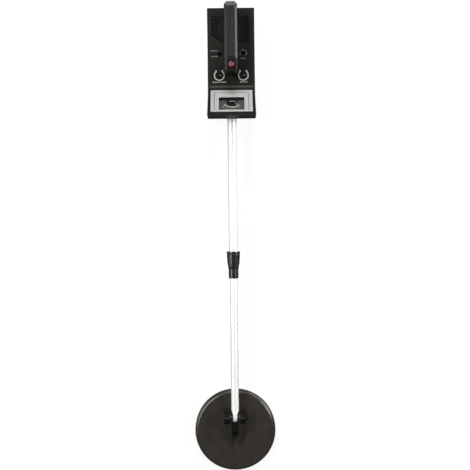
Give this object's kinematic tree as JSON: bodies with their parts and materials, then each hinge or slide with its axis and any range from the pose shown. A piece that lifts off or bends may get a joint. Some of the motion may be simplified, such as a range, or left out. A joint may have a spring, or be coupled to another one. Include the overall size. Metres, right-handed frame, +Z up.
{
  "type": "metal detector",
  "caption": "Metal detector with a handled control box, analogue meter, telescopic stem with locking collar, and a round search coil on a tilting yoke.",
  "frame": {"origin": "on the floor, at the middle of the length and width of the resting detector", "axes": "+Y from the search coil to the control box, +X to the right seen from above with the box at the top, +Z up"},
  "size_m": [0.2032, 1.1552, 0.1404],
  "materials": {
    "textured_black_plastic": "textured",
    "black_plastic": "satin",
    "coil_plastic": "satin",
    "grey_plastic": "satin",
    "rubber": "matte",
    "red_plastic": "gloss",
    "nylon": "satin",
    "speaker_paper": "matte",
    "dial_card": "matte",
    "needle_white": "painted",
    "clear_plastic": "clear",
    "circuit_board": "satin",
    "copper_wire": "enamelled",
    "satin_aluminium": "satin anodised",
    "silver_bezel": "brushed",
    "steel": "satin",
    "battery_case": "printed",
    "chrome": "polished"
  },
  "bodies": {
    "control_box": {"top_case": "textured_black_plastic", "bottom_case": "textured_black_plastic", "handle_left": "textured_black_plastic", "handle_right": "textured_black_plastic", "stem_clamp": "black_plastic", "battery_tray": "black_plastic", "meter_case": "black_plastic", "meter_pivot_cover": "black_plastic", "button_switch": "black_plastic", "headphone_jack": "black_plastic", "handle_cap": "grey_plastic", "grip_pad": "rubber", "foot_front_left": "rubber", "foot_front_right": "rubber", "foot_rear_left": "rubber", "foot_rear_right": "rubber", "threaded_bush": "nylon", "split_collet": "nylon", "speaker_cone": "speaker_paper", "meter_dial": "dial_card", "meter_window": "clear_plastic", "main_board": "circuit_board", "upper_tube": "satin_aluminium", "meter_bezel": "silver_bezel", "case_screw_front_left": "steel", "case_screw_front_right": "steel", "case_screw_rear_left": "steel", "case_screw_rear_right": "steel", "handle_screw_front_left": "steel", "handle_screw_front_right": "steel", "handle_screw_rear_left": "steel", "handle_screw_rear_right": "steel", "speaker_basket": "steel", "left_potentiometer": "steel", "right_potentiometer": "steel", "switch_body": "steel", "meter_movement": "steel", "battery_front": "battery_case", "battery_rear": "battery_case", "jack_nut": "chrome"},
    "lower_stem": {"lower_tube": "satin_aluminium", "guide_bush": "nylon"},
    "locking_collar": {"collar": "black_plastic"},
    "search_coil": {"coil_shell": "coil_plastic", "coil_cover": "coil_plastic", "transmit_winding": "copper_wire", "receive_winding": "copper_wire", "lead_grommet": "rubber", "washer_left": "rubber", "washer_right": "rubber", "tilt_bolt": "black_plastic"},
    "thumb_nut": {"thumb_nut": "black_plastic"},
    "left_knob": {"left_knob": "black_plastic", "left_knob_shaft": "steel"},
    "right_knob": {"right_knob": "black_plastic", "right_knob_shaft": "steel"},
    "push_button": {"push_button": "red_plastic"},
    "mode_slider": {"mode_slider": "black_plastic"},
    "meter_needle": {"meter_needle": "needle_white"},
    "battery_door": {"battery_door": "textured_black_plastic"}
  },
  "joints": [
    {"name": "stem_slide", "type": "slide", "parent": "control_box", "child": "lower_stem", "axis": [0, -1, 0], "range_m": [-0.24, 0.08]},
    {"name": "collar_twist", "type": "hinge", "parent": "control_box", "child": "locking_collar", "pos_m": [0, -0.06, 0.044], "axis": [0, 1, 0], "range_deg": [0, 90]},
    {"name": "coil_tilt", "type": "hinge", "parent": "lower_stem", "child": "search_coil", "pos_m": [0, -0.4395, 0.044], "axis": [1, 0, 0], "range_deg": [-150, 0]},
    {"name": "thumb_nut_turn", "type": "hinge", "parent": "search_coil", "child": "thumb_nut", "pos_m": [0.019, -0.4395, 0.044], "axis": [1, 0, 0], "continuous": true},
    {"name": "left_knob_turn", "type": "hinge", "parent": "control_box", "child": "left_knob", "pos_m": [-0.02975, 0.411, 0.07], "axis": [0, 0, 1], "range_deg": [-150, 150]},
    {"name": "right_knob_turn", "type": "hinge", "parent": "control_box", "child": "right_knob", "pos_m": [0.02975, 0.411, 0.07], "axis": [0, 0, 1], "range_deg": [-150, 150]},
    {"name": "button_press", "type": "slide", "parent": "control_box", "child": "push_button", "axis": [0, 0.3958, -0.9183], "range_m": [0, 0.0025], "stiffness_N_per_m": 400},
    {"name": "mode_slide", "type": "slide", "parent": "control_box", "child": "mode_slider", "axis": [0, -1, 0], "range_m": [0, 0.0058]},
    {"name": "needle_swing", "type": "hinge", "parent": "control_box", "child": "meter_needle", "pos_m": [0, 0.34691, 0.08604], "axis": [0, 0.543, 0.8397], "range_deg": [-90, 0], "stiffness_Nm_per_rad": 0.0005},
    {"name": "battery_door_open", "type": "hinge", "parent": "control_box", "child": "battery_door", "pos_m": [0, 0.5422, 0.003], "axis": [1, 0, 0], "range_deg": [0, 95]}
  ]
}
